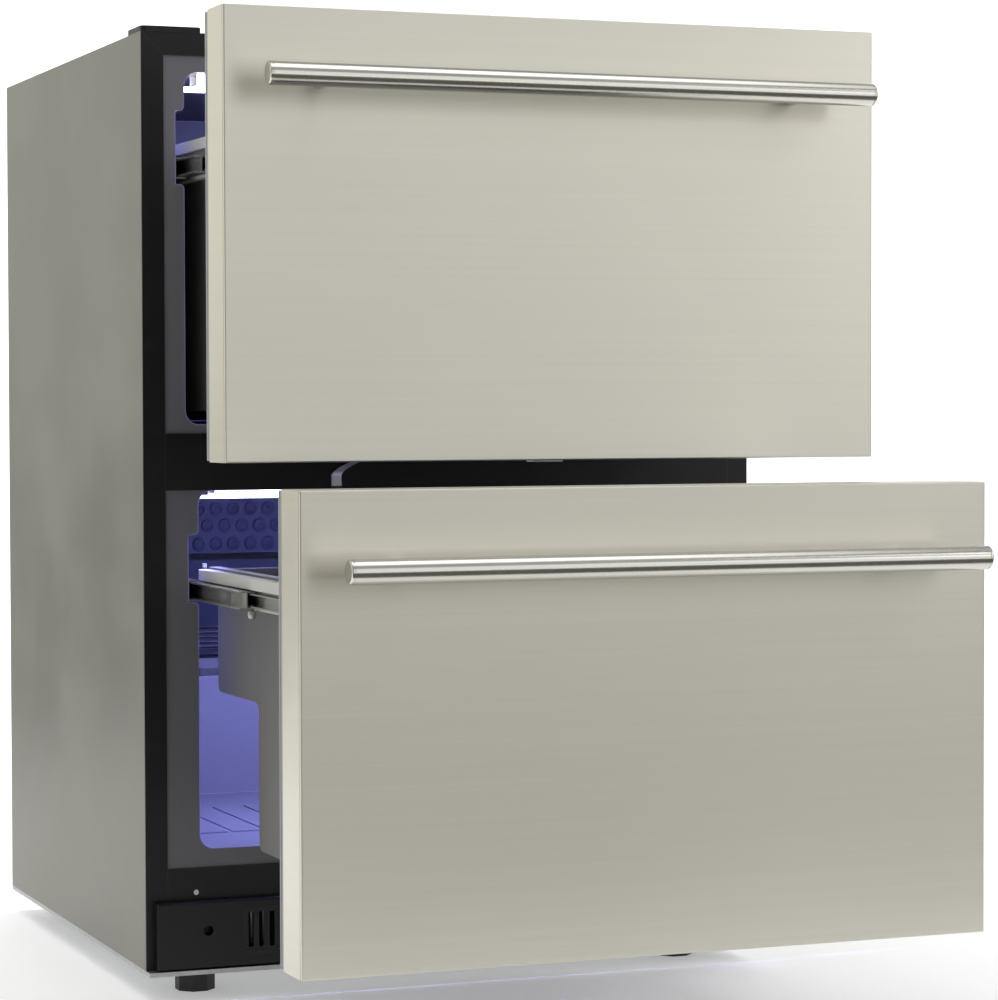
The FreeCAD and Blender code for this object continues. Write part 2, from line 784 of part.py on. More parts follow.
def fan(name, at, radius, blades):
    """An axial fan that blows along Y: a motor with a bracket, and its bladed hub."""
    x, y, z = at
    motor = new_body(f"{name}_motor", (x, f"frame_y + {y}", f"foot_height + {z}"))
    pad(motor, "XZ", "0", "24", circles=[(("0", "0"), "16")])
    pad(motor, "XZ", "10", "12", [rectangle(f"-{radius} - 6", f"{radius} + 6", "-8", "8")])
    rotor = new_body(f"{name}_blades", (x, f"frame_y + {y}", f"foot_height + {z}"))
    pad(rotor, "XZ", "-16", "-1", circles=[(("0", "0"), "12")])
    blade = new_sketch(rotor, "XZ", "-14")
    draw_loop(blade, rectangle("-7", "-2", "8", f"{radius}"))
    tip = new_sketch(rotor, "XZ", "-3")
    draw_loop(tip, rectangle("2", "7", "8", f"{radius}"))
    loft = rotor.newObject("PartDesign::AdditiveLoft", "AdditiveLoft")
    loft.Profile = blade
    loft.Sections = [tip]
    document.recompute()
    ring = rotor.newObject("PartDesign::PolarPattern", "PolarPattern")
    ring.Originals = [loft]
    ring.Axis = (origin_feature(rotor, "Y_Axis"), [""])
    ring.Angle = 360
    ring.Occurrences = blades
    rotor.Tip = ring
    document.recompute()


def coil(name, at, width, depth, height, fin_pitch, fin_count):
    """A finned cold or hot coil: tubes along X through a row of thin fins."""
    body = new_body(name, at)
    rows = [
        ((f"{depth} * {across}", f"{height} * {up}"), "4")
        for across in (0.25, 0.75)
        for up in (0.25, 0.75)
    ]
    pad(body, "YZ", "0", width, circles=rows)
    fin = pad(body, "YZ", "4", "6", [rectangle("0", depth, "0", height)])
    repeat(body, fin, "X", fin_pitch, fin_count)


def compressor():
    """A domed can with a waist weld and a terminal box, standing on a foot plate."""
    body = new_body("compressor", ("compressor_x", "frame_y + compressor_y", "foot_height"))
    pad(body, "XY", "can_bottom", "can_top", circles=[(("0", "0"), "can_radius")])
    can = body.Tip
    top = next(
        f"Edge{number}" for number, edge in enumerate(can.Shape.Edges, start=1)
        if isinstance(edge.Curve, Part.Circle) and near(edge.CenterOfMass.z, "can_top")
    )
    dome = body.newObject("PartDesign::Fillet", "Dome")
    dome.Base = (can, [top])
    dome.setExpression("Radius", full("dome_rounding"))
    document.recompute()
    pad(body, "XY", "0", "can_bottom", [
        rectangle("-mount_half_length", "mount_half_length", "-mount_half_width", "mount_half_width"),
    ])
    pad(body, "XY", "weld_bottom", "weld_top", circles=[(("0", "0"), "weld_radius")])
    # the terminal box
    pad(body, "XZ", "-10", "10", [
        rectangle("can_radius - 5", "can_radius + 16", "pipe_level - 20", "pipe_level + 10"),
    ])


def discharge_pipe():
    """The copper pipe from the compressor to the condenser, bent with even radii."""
    x, turn_x = value("compressor_x - can_radius"), value("compressor_x - can_radius - pipe_reach")
    y, end_y = value("compressor_y"), value("compressor_y - pipe_run")
    high, low = value("pipe_level"), value("pipe_drop")
    route = [Vector(x, y, high), Vector(turn_x, y, high), Vector(turn_x, y, low), Vector(turn_x, end_y, low)]
    bend = value("pipe_bend")
    edges = []
    start = route[0]
    for before, corner, after in zip(route, route[1:], route[2:]):
        entry = corner + (before - corner).normalize() * bend
        leave = corner + (after - corner).normalize() * bend
        centre = entry + leave - corner
        middle = centre + (corner - centre).normalize() * bend
        edges.append(Part.LineSegment(start, entry).toShape())
        edges.append(Part.Arc(entry, middle, leave).toShape())
        start = leave
    edges.append(Part.LineSegment(start, route[-1]).toShape())
    path = Part.Wire(edges)
    section = Part.Wire(Part.makeCircle(value("pipe_radius"), route[0], route[1] - route[0]))
    pipe = document.addObject("Part::Feature", "discharge_pipe")
    pipe.Shape = path.makePipeShell([section], True, False)
    place(pipe, CABINET)
    register(pipe, "discharge_pipe")


def drain_tray():
    """The open tray over the base, where melt water dries off."""
    body = new_body("drain_tray")
    pad(body, "XY", "1", "tray_top", [rectangle("tray_left", "tray_right", "tray_front", "tray_back")])
    pocket(body, "XY", "1 + tray_wall", "tray_top", [
        rectangle("tray_left + tray_wall", "tray_right - tray_wall",
                  "tray_front + tray_wall", "tray_back - tray_wall"),
    ])
    fillet(body, "z", "tray_rounding", lambda p: near(p.x, "tray_left") or near(p.x, "tray_right"))


def power_inlet():
    """The mains inlet in the machine cover."""
    body = new_body("power_inlet")
    back = "cabinet_depth"
    floor = f"{back} - inlet_depth * 2 / 3"

    def outline(inset):
        return rectangle(f"inlet_left + {inset}", f"inlet_right - {inset}",
                         f"inlet_bottom + {inset}", f"inlet_top - {inset}")

    pad(body, "XZ", f"{back} - inlet_depth", back, [outline("inlet_clearance")])
    pocket(body, "XZ", floor, back, [outline("inlet_wall")])
    centre, level = "(inlet_left + inlet_right) / 2", "(inlet_bottom + inlet_top) / 2"
    pins = [
        rectangle(f"{centre} + {shift} - 1", f"{centre} + {shift} + 1", f"{level} - 3", f"{level} + 1")
        for shift in (-7, 0, 7)
    ]
    pad(body, "XZ", f"{floor} - 2", f"{back} - 4", pins)


# ---------------------------------------------------------------- drawers


def front_skin(name, at):
    """The stainless front, folded back round all four sides, with a fine seam behind the bend."""
    body = new_body(f"{name}_front_skin", at)
    low = f"{name}_panel_bottom"
    high = f"{name}_panel_bottom + panel_height"
    front = "-closed_gap - panel_depth"
    seam = f"{front} + bend_setback"

    def outline(inset):
        return rectangle(f"-(panel_half - ({inset}))", f"panel_half - ({inset})",
                         f"{low} + ({inset})", f"{high} - ({inset})")

    pad(body, "XZ", front, seam, [outline("0")])
    fillet(body, "x", "1.2", lambda p: near(p.y, front))
    fillet(body, "z", "1.2", lambda p: near(p.y, front))
    pad(body, "XZ", seam, f"{seam} + seam_width", [outline("seam_depth")])
    pad(body, "XZ", f"{seam} + seam_width", "-closed_gap", [outline("0")])
    pocket(body, "XZ", f"{front} + sheet_metal", "-closed_gap", [outline("sheet_metal + seam_depth")])


def inner_panel(name, at):
    """The foamed inner panel that fills the front's back, raised inside the gasket."""
    body = new_body(f"{name}_inner_panel", at)
    low = f"{name}_panel_bottom"
    high = f"{name}_panel_bottom + panel_height"
    clear = "sheet_metal + seam_depth + 0.1"
    pad(body, "XZ", "-closed_gap - panel_depth + sheet_metal + 0.1", "-closed_gap", [
        rectangle(f"-(panel_half - ({clear}))", f"panel_half - ({clear})",
                  f"{low} + {clear}", f"{high} - ({clear})"),
    ])
    # holes for the handle's screws
    screws = [
        ((f"{sign} * post_half_pitch", f"{high} - handle_drop"), "2.6") for sign in (-1, 1)
    ]
    pocket(body, "XZ", "-closed_gap - panel_depth", "-closed_gap", circles=screws)


def gasket(name, at):
    """The magnetic seal round the back of the front."""
    body = new_body(f"{name}_gasket", at)
    low = f"{name}_panel_bottom"
    high = f"{name}_panel_bottom + panel_height"

    def outline(inset):
        return rectangle(f"-(panel_half - ({inset}))", f"panel_half - ({inset})",
                         f"{low} + ({inset})", f"{high} - ({inset})")

    pad(body, "XZ", "-closed_gap", "-0.4",
        [outline("gasket_inset"), outline("gasket_inset + gasket_width")])
    # the two grooves of the bellows
    for offset in ("-closed_gap + 2", "-closed_gap + 7"):
        pocket(body, "XZ", offset, f"{offset} + 1.5", [outline("gasket_inset"), outline("gasket_inset + 2")])


def handle_bar(name, at):
    """The tube of the handle, closed by a flat cap at each end."""
    body = new_body(f"{name}_handle_bar", at)
    level = f"{name}_panel_bottom + panel_height - handle_drop"
    axis = ("-closed_gap - panel_depth - handle_reach", level)
    outside = [(axis, "handle_diameter / 2")]
    neck = [(axis, "handle_diameter / 2 - cap_joint")]
    tube_end = "handle_half - cap_length - cap_joint"
    cap_start = "handle_half - cap_length"
    pad(body, "YZ", f"-({tube_end})", tube_end, circles=outside)
    pad(body, "YZ", f"-({cap_start})", f"-({tube_end})", circles=neck)
    pad(body, "YZ", tube_end, cap_start, circles=neck)
    pad(body, "YZ", "-handle_half", f"-({cap_start})", circles=outside)
    pad(body, "YZ", cap_start, "handle_half", circles=outside)
    tube = body.Tip
    rims = [
        f"Edge{number}" for number, edge in enumerate(tube.Shape.Edges, start=1)
        if isinstance(edge.Curve, Part.Circle) and near(abs(edge.CenterOfMass.x), "handle_half")
    ]
    rounding = body.newObject("PartDesign::Fillet", "CapRounding")
    rounding.Base = (tube, rims)
    rounding.setExpression("Radius", full("cap_rounding"))
    document.recompute()


def handle_posts(name, at):
    """The two posts that carry the bar, with the screws that hold them."""
    body = new_body(f"{name}_handle_posts", at)
    level = f"{name}_panel_bottom + panel_height - handle_drop"
    front = "-closed_gap - panel_depth"
    centres = [(f"{sign} * post_half_pitch", level) for sign in (-1, 1)]
    pad(body, "XZ", f"{front} - handle_reach", front,
        circles=[(centre, "post_diameter / 2") for centre in centres])
    axis = (f"{front} - handle_reach", level)
    pocket(body, "YZ", "-handle_half", "handle_half",
           circles=[(axis, "handle_diameter / 2 + running_gap")])


def bin_outline(name, inset):
    """The bin's side view: flat for the upper bin, stepped up at the back for the lower one."""
    low = f"{name}_bin_bottom + {inset}"
    front = f"-closed_gap + 1 + {inset}"
    back = f"bin_back - {inset}"
    top = f"{name}_rail_top"
    if name == "upper":
        return [(front, top), (front, low), (back, low), (back, top)]
    step = f"lower_bin_step + {inset}"
    edge = f"lower_bin_step_front - {inset}"
    return [(front, top), (front, low), (edge, low), (edge, step), (back, step), (back, top)]


def bin_box(name, at):
    """The drawer's open bin, with a rim that rests on both side rails."""
    body = new_body(f"{name}_bin", at)
    half = f"{name}_bin_half"
    pad(body, "YZ", f"-{half}", half, [bin_outline(name, "0")])
    fillet(body, "x", "8", lambda p: p.z < value(f"{name}_rail_top") - 1)
    inner = bin_outline(name, "bin_wall")
    pocket(body, "YZ", f"-({half} - bin_wall)", f"{half} - bin_wall",
           [[(a, f"({b}) + 1") if number in (0, len(inner) - 1) else (a, b)
             for number, (a, b) in enumerate(inner)]])
    fillet(body, "x", "6", lambda p: p.z < value(f"{name}_rail_top") - 1
           and abs(p.x) < value(half) and on_inner_corner(name, p))
    rim = both_sides(
        rectangle(f"{half} - bin_wall", f"{half} + rim_width", "-closed_gap + 1", "bin_back")
    )
    pad(body, "XY", f"{name}_rail_top", f"{name}_rail_top + rim_thickness", rim)


def on_inner_corner(name, point):
    """Whether a point lies on a corner of the bin's inside."""
    corners = bin_outline(name, "bin_wall")[1:-1]
    return any(near(point.y, a) and near(point.z, b) for a, b in corners)


def side_rails(name, at):
    """The two rails beside the bin: a beam over the slide, on a web screwed to it."""
    body = new_body(f"{name}_side_rails", at)
    half = f"{name}_bin_half"
    bottom, top = f"{name}_rail_bottom", f"{name}_rail_top"
    foot = f"{name}_slide_level - slide_height / 2"
    inside, web, outside = f"{half} + 0.3", f"{half} + rail_web", f"{half} + rail_width"
    pad(body, "XZ", "-closed_gap", "bin_back", both_sides([
        (inside, foot), (web, foot), (web, bottom), (outside, bottom), (outside, top), (inside, top),
    ]))


def channel(label, at, name, start, points):
    """A rolled slide member on each side, from (inward, up) corners off the liner's wall."""
    body = new_body(label, at)
    outline = [(f"{name}_notch_half - {inward}", f"{name}_slide_level + {up}") for inward, up in points]
    pad(body, "XZ", start, "slide_front + slide_length", both_sides(outline))


def slides(name, at):
    """Three nested members of each slide: cabinet, middle and drawer."""
    gauge = value("slide_gauge")
    wall, lip, high = 0.5, 11, value("slide_height") / 2
    channel(f"{name}_slide_outer", CABINET, name, "slide_front", [
        (wall, -high), (lip, -high), (lip, gauge - high), (wall + gauge, gauge - high),
        (wall + gauge, high - gauge), (lip, high - gauge), (lip, high), (wall, high),
    ])
    middle_at = ("0", f"frame_y - {name}_open / 2", "foot_height")
    near_lip, web, far_lip = 2.5, 8.9, 16.5
    high = high - 1.7
    low = high - gauge
    channel(f"{name}_slide_middle", middle_at, name, "slide_front + middle_setback", [
        (near_lip, -high), (far_lip, -high), (far_lip, -low), (web + gauge, -low),
        (web + gauge, low), (far_lip, low), (far_lip, high), (near_lip, high),
        (near_lip, low), (web, low), (web, -low), (near_lip, -low),
    ])
    near_lip, far_side = 11.5, 19.5
    high = high - 1.8
    channel(f"{name}_slide_inner", at, name, "slide_front", [
        (near_lip, -high), (far_side, -high), (far_side, high), (near_lip, high),
        (near_lip, high - gauge), (far_side - gauge, high - gauge),
        (far_side - gauge, gauge - high), (near_lip, gauge - high),
    ])


# ---------------------------------------------------------------- the whole

for side, sign in (("left", -1), ("right", 1)):
    side_panel(side, sign)
top_panel()
back_panel()
machine_cover()
base_pan()
face_frame()
mullion()
bottom_rail()
kick_plate()
kick_plate_screws()
cabinet_screws()
top_brackets()
for row in ("front", "back"):
    for side, sign in (("left", -1), ("right", 1)):
        levelling_foot(f"{row}_{side}", sign, row)

upper_liner()
lower_liner()
insulation_foam()
evaporator_cover()
upper_duct_cover()
light("upper", "upper_opening_top - 14", "upper_opening_top", "upper_opening_half - 2.5")
light("lower", "lower_opening_top - 7.5", "lower_opening_top", "lower_opening_half - 6")
light_switch_lever()

compressor()
discharge_pipe()
drain_tray()
power_inlet()
fan("evaporator_fan", ("0", "448", "395"), "30", 7)
fan("condenser_fan", ("0", "450", "62"), "48", 5)
coil("evaporator_coil", ("-215", "frame_y + 426", "foot_height + 364"), "150", "50", "55", "6", "24")
coil("condenser_coil", ("-200", "frame_y + 60", "foot_height + 8"), "400", "200", "46", "12", "33")

for name, at in (("upper", UPPER), ("lower", LOWER)):
    front_skin(name, at)
    inner_panel(name, at)
    gasket(name, at)
    handle_bar(name, at)
    handle_posts(name, at)
    bin_box(name, at)
    side_rails(name, at)
    slides(name, at)

document.recompute()
for item in document.Objects:
    if "Invalid" in item.State or "Error" in item.State:
        raise RuntimeError(f"{item.Label} failed: {item.State}")
os.makedirs("parts", exist_ok=True)
for item in subparts:
    if item.Shape.isNull() or not item.Shape.isValid() or not item.Shape.Solids:
        raise RuntimeError(f"{item.Label} has no sound solid")
for item in subparts:
    item.Shape.exportStep(f"parts/{item.Label}.step")
print(len(subparts), "sub-parts")
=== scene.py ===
import json
import math

import bmesh
import bpy
from mathutils import Matrix, Vector


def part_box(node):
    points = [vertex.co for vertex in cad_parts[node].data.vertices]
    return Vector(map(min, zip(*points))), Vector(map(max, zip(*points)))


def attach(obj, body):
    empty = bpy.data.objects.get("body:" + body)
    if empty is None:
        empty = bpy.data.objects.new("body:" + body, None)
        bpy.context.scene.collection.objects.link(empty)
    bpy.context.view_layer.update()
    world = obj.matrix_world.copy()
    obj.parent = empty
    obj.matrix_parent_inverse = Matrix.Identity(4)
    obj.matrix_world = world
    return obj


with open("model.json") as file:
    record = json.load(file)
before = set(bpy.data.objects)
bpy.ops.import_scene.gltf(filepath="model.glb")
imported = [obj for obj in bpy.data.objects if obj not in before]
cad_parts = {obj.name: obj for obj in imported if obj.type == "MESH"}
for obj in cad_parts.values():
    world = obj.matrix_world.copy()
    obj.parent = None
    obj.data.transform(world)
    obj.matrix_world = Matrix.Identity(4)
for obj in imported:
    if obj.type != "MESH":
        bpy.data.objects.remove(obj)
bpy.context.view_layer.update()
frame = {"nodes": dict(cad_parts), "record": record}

# A two-drawer under-counter refrigerator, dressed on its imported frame. Lengths are in
# metres, with X to the right, Y to the back and Z up.

nodes = frame["nodes"]

MM = 0.001
SIDES = (-1, 1)
DRAWERS = ("upper", "lower")


# ---------------------------------------------------------------- shader values


class Value:
    """A number that varies over a surface. Arithmetic on it adds Math nodes."""

    def __init__(self, finish, socket):
        self.finish = finish
        self.socket = socket

    def math(self, operation, *terms):
        return self.finish.node("ShaderNodeMath", {"operation": operation}, dict(enumerate(terms)))

    def __add__(self, other):
        return self.math("ADD", self, other)

    __radd__ = __add__

    def __sub__(self, other):
        return self.math("SUBTRACT", self, other)

    def __rsub__(self, other):
        return self.math("SUBTRACT", other, self)

    def __mul__(self, other):
        return self.math("MULTIPLY", self, other)

    __rmul__ = __mul__

    def __abs__(self):
        return self.math("ABSOLUTE", self)


class Finish:
    """One material in the making, drawn in metres on the object's own coordinates."""

    def __init__(self, name, **constants):
        self.material = bpy.data.materials.new(name)
        self.material.use_nodes = True
        self.tree = self.material.node_tree
        self.shader = self.tree.nodes["Principled BSDF"]
        for socket, number in constants.items():
            self.shader.inputs[socket.replace("_", " ")].default_value = number
        self.place = self.node("ShaderNodeTexCoord", output="Object")

    def node(self, kind, settings=(), sockets=(), output=0):
        """Adds a node, makes its settings first, and then fills its sockets."""
        made = self.tree.nodes.new(kind)
        for name, setting in dict(settings).items():
            setattr(made, name, setting)
        for name, content in dict(sockets).items():
            self.fill(made.inputs[name], content)
        return Value(self, made.outputs[output])

    def fill(self, socket, content):
        """Puts a number, colour or link into a socket."""
        if isinstance(content, Value):
            self.tree.links.new(content.socket, socket)
        else:
            socket.default_value = content

    def noise(self, stretch, detail=2.0):
        """Noise from 0 to 1, with its grains per metre along X, Y and Z."""
        place = self.node("ShaderNodeVectorMath", {"operation": "MULTIPLY"}, {0: self.place, 1: stretch})
        return self.node(
            "ShaderNodeTexNoise", {}, {"Vector": place, "Scale": 1.0, "Detail": detail}, "Fac"
        )

    def cloud(self, grains, detail=2.0):
        """Even noise, with its grains per metre."""
        return self.noise((grains, grains, grains), detail)

    def ease(self, value, low, high):
        """0 below low and 1 above high, with a smooth step between."""
        return self.node(
            "ShaderNodeMapRange", {"interpolation_type": "SMOOTHSTEP"},
            {"Value": value, "From Min": low, "From Max": high},
        )

    def mix(self, low, high, mask, mode="MIX"):
        """A colour from low to high as the mask goes from 0 to 1."""
        return self.node(
            "ShaderNodeMix", {"data_type": "RGBA", "blend_type": mode},
            {0: mask, 6: low, 7: high}, output=2,
        )

    def facing(self, axis):
        """How squarely the surface faces along an axis, from 0 to 1."""
        normal = self.node("ShaderNodeTexCoord", output="Normal")
        return abs(self.node("ShaderNodeSeparateXYZ", {}, {0: normal}, axis))

    def edges(self, radius):
        """1 along outside edges within about a radius, and 0 on flat ground."""
        rounded = self.node("ShaderNodeBevel", {"samples": 3}, {"Radius": radius})
        plain = self.node("ShaderNodeNewGeometry", output="Normal")
        same = self.node(
            "ShaderNodeVectorMath", {"operation": "DOT_PRODUCT"}, {0: rounded, 1: plain},
            "Value",
        )
        return self.ease(1 - same, 0.02, 0.25)

    def close(self, colour, roughness, height=None, depth=0.0, metallic=None):
        """Joins the varying inputs to the shader and gives the material."""
        self.fill(self.shader.inputs["Base Color"], colour)
        self.fill(self.shader.inputs["Roughness"], roughness)
        if metallic is not None:
            self.fill(self.shader.inputs["Metallic"], metallic)
        if height is not None:
            bump = self.node("ShaderNodeBump", {}, {"Height": height, "Distance": depth})
            self.fill(self.shader.inputs["Normal"], bump)
        return self.material


def shade(colour, factor=1.0):
    """An opaque colour, made lighter or darker by a factor."""
    return tuple(min(1.0, part * factor) for part in colour) + (1.0,)


# ---------------------------------------------------------------- finishes


def brushed_stainless():
    """Sheet brushed from side to side, on the face and round its folded edges."""
    finish = Finish("brushed_stainless", Metallic=1.0, Anisotropic=0.75, Anisotropic_Rotation=0.25)
    flat = finish.facing("Z")
    grain = finish.noise((5, 5, 2400), 3) * (1 - flat) + finish.noise((5, 2400, 5), 3) * flat
    bands = finish.noise((1.5, 1.5, 260), 2)
    mottle = finish.cloud(3.2, 3)
    mask = grain * 0.45 + bands * 0.3 + mottle * 0.25
    steel = (0.735, 0.708, 0.628)
    colour = finish.mix(shade(steel, 0.9), shade(steel, 1.08), mask)
    roughness = 0.27 + grain * 0.07 + mottle * 0.07
    return finish.close(colour, roughness, grain * 0.7 + bands * 0.3, 0.008 * MM)


def handle_steel():
    """Tube polished along its length, with faint drawing lines."""
    finish = Finish("handle_steel", Metallic=1.0, Anisotropic=0.4, Anisotropic_Rotation=0.0)
    lines = finish.noise((3, 1500, 1500), 2)
    haze = finish.cloud(24, 4)
    steel = (0.74, 0.725, 0.675)
    colour = finish.mix(shade(steel, 0.9), shade(steel, 1.08), lines * 0.6 + haze * 0.4)
    return finish.close(colour, 0.19 + lines * 0.05 + haze * 0.06, lines, 0.006 * MM)


def silver_side():
    """Silver lacquer on steel: fine metal flakes over a cloudy, slightly rippled coat."""
    finish = Finish("silver_side", Metallic=0.55, Coat_Roughness=0.3)
    flakes = finish.node(
        "ShaderNodeTexVoronoi", {}, {"Vector": finish.place, "Scale": 1600.0}, "Color"
    )
    flake = finish.node("ShaderNodeSeparateColor", {}, {0: flakes})
    mottle = finish.ease(finish.noise((9, 5, 7), 6), 0.32, 0.68)
    speck = finish.ease(finish.cloud(420, 2), 0.62, 0.72)
    ripple = finish.noise((60, 22, 22), 2)
    worn = finish.edges(0.7 * MM)
    silver = (0.245, 0.24, 0.208)
    colour = finish.mix(shade(silver, 0.8), shade(silver, 1.2), mottle * 0.75 + flake * 0.25)
    colour = finish.mix(colour, shade(silver, 0.6), speck * 0.25)
    colour = finish.mix(colour, shade(silver, 1.5), worn * 0.6)
    roughness = 0.42 + mottle * 0.12 - worn * 0.1
    return finish.close(colour, roughness, ripple * 0.8 + flake * 0.2, 0.03 * MM)


def black_frame():
    """Satin black powder coat with a fine orange peel, rubbed bright at its edges."""
    finish = Finish("black_frame", Specular_IOR_Level=0.35)
    peel = finish.cloud(900, 2)
    dust = finish.ease(finish.cloud(55, 5), 0.5, 0.8)
    worn = finish.edges(0.5 * MM)
    black = (0.005, 0.0048, 0.0055)
    colour = finish.mix(shade(black), shade((0.024, 0.024, 0.024)), dust * 0.3)
    colour = finish.mix(colour, shade((0.10, 0.10, 0.105)), worn * 0.7)
    return finish.close(colour, 0.36 + dust * 0.2 + peel * 0.05, peel, 0.02 * MM)


def moulded_plastic(name, tone, spread=0.1, roughness=0.38, grains=1100, depth=0.015 * MM):
    """Moulded plastic: a fine spark-eroded grain, faint flow clouds and paler rubbed edges."""
    finish = Finish(name, Specular_IOR_Level=0.45)
    grain = finish.cloud(grains, 2)
    flow = finish.cloud(9, 4)
    worn = finish.edges(0.6 * MM)
    colour = finish.mix(shade(tone, 1 - spread), shade(tone, 1 + spread), flow * 0.7 + grain * 0.3)
    colour = finish.mix(colour, shade(tone, 1.35), worn * 0.4)
    return finish.close(colour, roughness + flow * 0.1 + grain * 0.05, grain, depth)


def galvanised():
    """Zinc-coated sheet with its crystal spangle."""
    finish = Finish("galvanised", Metallic=0.9)
    crystals = finish.node(
        "ShaderNodeTexVoronoi", {}, {"Vector": finish.place, "Scale": 130.0}, "Color"
    )
    spangle = finish.node("ShaderNodeSeparateColor", {}, {0: crystals})
    stain = finish.cloud(8, 5)
    scratch = finish.ease(finish.noise((14, 14, 800), 3), 0.64, 0.72)
    worn = finish.edges(0.5 * MM)
    zinc = (0.50, 0.51, 0.52)
    colour = finish.mix(shade(zinc, 0.78), shade(zinc, 1.12), spangle * 0.6 + stain * 0.4)
    colour = finish.mix(colour, shade(zinc, 1.4), scratch * 0.25 + worn * 0.35)
    roughness = 0.34 + spangle * 0.14 + stain * 0.1
    return finish.close(colour, roughness, spangle * 0.4 + stain * 0.6, 0.02 * MM)


def zinc_steel():
    """Bright zinc plate on rolled slide members, with drawn lines and a little grease."""
    finish = Finish("zinc_steel", Metallic=1.0)
    lines = finish.noise((900, 6, 900), 2)
    grease = finish.ease(finish.cloud(38, 4), 0.5, 0.75)
    worn = finish.edges(0.3 * MM)
    zinc = (0.56, 0.56, 0.55)
    colour = finish.mix(shade(zinc, 0.85), shade(zinc, 1.1), lines)
    colour = finish.mix(colour, shade((0.20, 0.19, 0.16)), grease * 0.4)
    colour = finish.mix(colour, shade(zinc, 1.4), worn * 0.5)
    return finish.close(colour, 0.24 + lines * 0.1 + grease * 0.16, lines, 0.01 * MM)


def gasket_grey():
    """Soft extruded vinyl with a powdery bloom."""
    finish = Finish("gasket_grey", Specular_IOR_Level=0.3, Sheen_Weight=0.15)
    bloom = finish.cloud(70, 5)
    grain = finish.cloud(700, 2)
    tone = (0.33, 0.33, 0.33)
    colour = finish.mix(shade(tone, 0.8), shade(tone, 1.15), bloom * 0.7 + grain * 0.3)
    return finish.close(colour, 0.58 + bloom * 0.15, grain * 0.6 + bloom * 0.4, 0.03 * MM)


def foam():
    """Cut polyurethane foam with open cells."""
    finish = Finish("foam")
    cells = finish.node(
        "ShaderNodeTexVoronoi", {}, {"Vector": finish.place, "Scale": 900.0}, "Distance"
    )
    age = finish.cloud(11, 4)
    tone = (0.78, 0.66, 0.40)
    colour = finish.mix(shade(tone, 0.7), shade(tone, 1.05), cells * 0.6 + age * 0.4)
    return finish.close(colour, 0.86 + cells * 0.1, cells, 0.2 * MM)


def lit_lens():
    """Frosted lens over a row of cold white diodes, brighter at each diode."""
    finish = Finish("lit_lens", IOR=1.49, Emission_Strength=7.0)
    wave = finish.node(
        "ShaderNodeTexWave", {"bands_direction": "X"},
        {"Vector": finish.place, "Scale": 9.5, "Distortion": 0.0}, "Fac",
    )
    frost = finish.cloud(1300, 2)
    glow = finish.mix(shade((0.50, 0.55, 1.0)), shade((0.92, 0.95, 1.0)), wave * 0.7 + frost * 0.3)
    finish.fill(finish.shader.inputs["Emission Color"], glow)
    colour = finish.mix(shade((0.75, 0.78, 0.9)), shade((0.88, 0.9, 1.0)), frost)
    return finish.close(colour, 0.3 + frost * 0.1, frost, 0.02 * MM)


def copper():
    """Drawn copper pipe, dulled and browned in patches."""
    finish = Finish("copper", Metallic=1.0)
    lines = finish.noise((700, 700, 12), 2)
    tarnish = finish.ease(finish.cloud(45, 5), 0.42, 0.7)
    colour = finish.mix(shade((0.80, 0.42, 0.26)), shade((0.42, 0.20, 0.11)), tarnish * 0.8)
    return finish.close(colour, 0.22 + tarnish * 0.25 + lines * 0.05, lines, 0.01 * MM)


def compressor_black():
    """Thick gloss enamel with runs and dust."""
    finish = Finish("compressor_black", Coat_Weight=0.4, Coat_Roughness=0.2)
    runs = finish.noise((90, 90, 14), 3)
    dust = finish.ease(finish.cloud(30, 6), 0.48, 0.75)
    colour = finish.mix(shade((0.012, 0.012, 0.013)), shade((0.11, 0.105, 0.10)), dust * 0.4)
    return finish.close(colour, 0.2 + dust * 0.4, runs, 0.05 * MM)


def floor_paint():
    """The studio's pale floor, very slightly mottled."""
    finish = Finish("floor_paint", Specular_IOR_Level=0.2, Emission_Strength=0.30)
    mottle = finish.cloud(3, 4)
    colour = finish.mix(shade((0.88, 0.88, 0.88)), shade((0.92, 0.92, 0.92)), mottle)
    finish.fill(finish.shader.inputs["Emission Color"], colour)
    return finish.close(colour, 0.6 + mottle * 0.1)


def liner_painted_light():
    """Moulded liner with painted light: a faint violet glow along its edges standing in for the lamps'
    light, painted highlights on those edges, and painted light that makes it lighter towards the top.
    """
    finish = Finish("liner_painted_light", Specular_IOR_Level=0.45, Emission_Strength=0.9)
    grain = finish.cloud(1100, 2)
    flow = finish.cloud(9, 4)
    height = finish.node("ShaderNodeSeparateXYZ", {}, {0: finish.place}, 2)
    painted_light_rim = finish.edges(1.4 * MM)
    # painted glow: the liner's edges emit violet light as if they carried the lamps' light
    glow = finish.mix(shade((0, 0, 0)), shade((0.30, 0.26, 0.95)), painted_light_rim * finish.cloud(14, 3))
    finish.fill(finish.shader.inputs["Emission Color"], glow)
    tone = (0.15, 0.148, 0.165)
    # painted light: the liner is made lighter towards the top
    top = finish.ease(height, 0.35, 0.80)
    colour = finish.mix(shade(tone, 0.72), shade(tone, 1.2), top * 0.7 + flow * 0.3)
    # painted highlight: the glowing edges are also made paler
    colour = finish.mix(colour, shade(tone, 1.4), painted_light_rim * 0.3)
    return finish.close(colour, 0.3 + flow * 0.1 + grain * 0.05, grain, 0.015 * MM)


